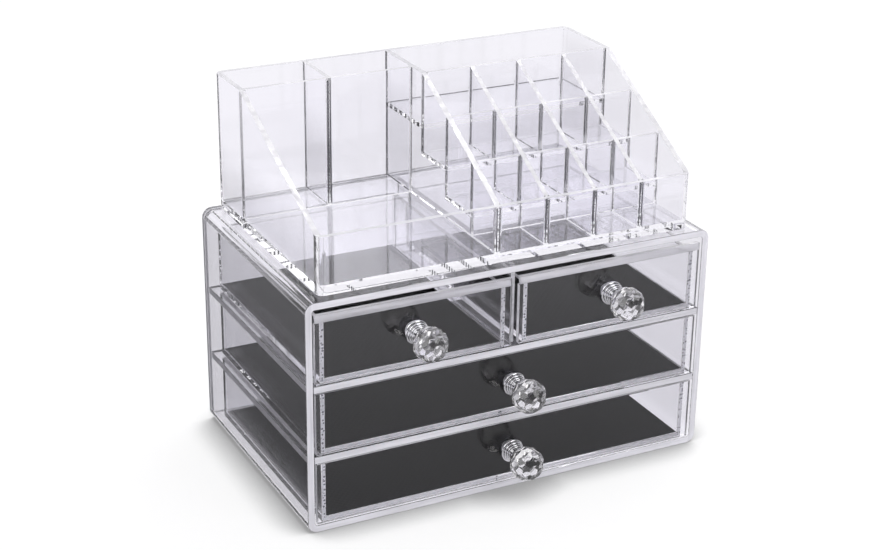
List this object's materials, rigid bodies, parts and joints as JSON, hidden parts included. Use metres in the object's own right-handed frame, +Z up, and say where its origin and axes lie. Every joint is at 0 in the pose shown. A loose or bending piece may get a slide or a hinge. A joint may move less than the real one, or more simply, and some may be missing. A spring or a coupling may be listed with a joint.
{
  "type": "acrylic makeup organizer drawers",
  "caption": "Clear acrylic makeup organizer: a cabinet of small drawers with padded floors and faceted knobs, under a lift-off tray of bins and stepped slots.",
  "frame": {"origin": "centre of the cabinet's base, on the surface it stands on", "axes": "+X to the right seen from the front, front faces -Y, +Z up"},
  "size_m": [0.238, 0.1705, 0.2077],
  "materials": {
    "cabinet_acrylic": "clear polished acrylic",
    "drawer_acrylic": "clear polished acrylic",
    "tray_acrylic": "clear polished acrylic",
    "drawer_pad": "black diamond-mesh pad",
    "knob_crystal": "faceted clear crystal",
    "knob_chrome": "polished",
    "screw_steel": "zinc plated"
  },
  "bodies": {
    "cabinet": {"cabinet_case": "cabinet_acrylic", "back_panel": "cabinet_acrylic", "lower_shelf": "cabinet_acrylic", "upper_shelf": "cabinet_acrylic", "drawer_divider": "cabinet_acrylic"},
    "lower_drawer": {"lower_drawer_front": "drawer_acrylic", "lower_drawer_box": "drawer_acrylic", "lower_drawer_liner": "drawer_pad", "lower_knob_ball": "knob_crystal", "lower_knob_neck": "knob_chrome", "lower_knob_screw": "screw_steel", "lower_knob_washer": "screw_steel"},
    "middle_drawer": {"middle_drawer_front": "drawer_acrylic", "middle_drawer_box": "drawer_acrylic", "middle_drawer_liner": "drawer_pad", "middle_knob_ball": "knob_crystal", "middle_knob_neck": "knob_chrome", "middle_knob_screw": "screw_steel", "middle_knob_washer": "screw_steel"},
    "upper_left_drawer": {"upper_left_drawer_front": "drawer_acrylic", "upper_left_drawer_box": "drawer_acrylic", "upper_left_drawer_liner": "drawer_pad", "upper_left_knob_ball": "knob_crystal", "upper_left_knob_neck": "knob_chrome", "upper_left_knob_screw": "screw_steel", "upper_left_knob_washer": "screw_steel"},
    "upper_right_drawer": {"upper_right_drawer_front": "drawer_acrylic", "upper_right_drawer_box": "drawer_acrylic", "upper_right_drawer_liner": "drawer_pad", "upper_right_knob_ball": "knob_crystal", "upper_right_knob_neck": "knob_chrome", "upper_right_knob_screw": "screw_steel", "upper_right_knob_washer": "screw_steel"},
    "tray": {"tray_shell": "tray_acrylic", "tray_centre_wall": "tray_acrylic", "tray_bins_front_wall": "tray_acrylic", "tray_bin_divider": "tray_acrylic", "tray_rear_wall": "tray_acrylic", "tray_rear_floor": "tray_acrylic", "tray_first_row_floor": "tray_acrylic", "tray_second_row_floor": "tray_acrylic", "tray_middle_row_wall": "tray_acrylic", "tray_front_row_wall": "tray_acrylic", "tray_slot_divider_1": "tray_acrylic", "tray_slot_divider_2": "tray_acrylic", "tray_slot_divider_3": "tray_acrylic"}
  },
  "joints": [
    {"name": "lower_drawer_slide", "type": "slide", "parent": "cabinet", "child": "lower_drawer", "axis": [0, -1, 0], "range_m": [0, 0.11]},
    {"name": "middle_drawer_slide", "type": "slide", "parent": "cabinet", "child": "middle_drawer", "axis": [0, -1, 0], "range_m": [0, 0.11]},
    {"name": "upper_left_drawer_slide", "type": "slide", "parent": "cabinet", "child": "upper_left_drawer", "axis": [0, -1, 0], "range_m": [0, 0.11]},
    {"name": "upper_right_drawer_slide", "type": "slide", "parent": "cabinet", "child": "upper_right_drawer", "axis": [0, -1, 0], "range_m": [0, 0.11]},
    {"name": "tray_lift", "type": "slide", "parent": "cabinet", "child": "tray", "axis": [0, 0, 1], "range_m": [0, 0.1]}
  ]
}
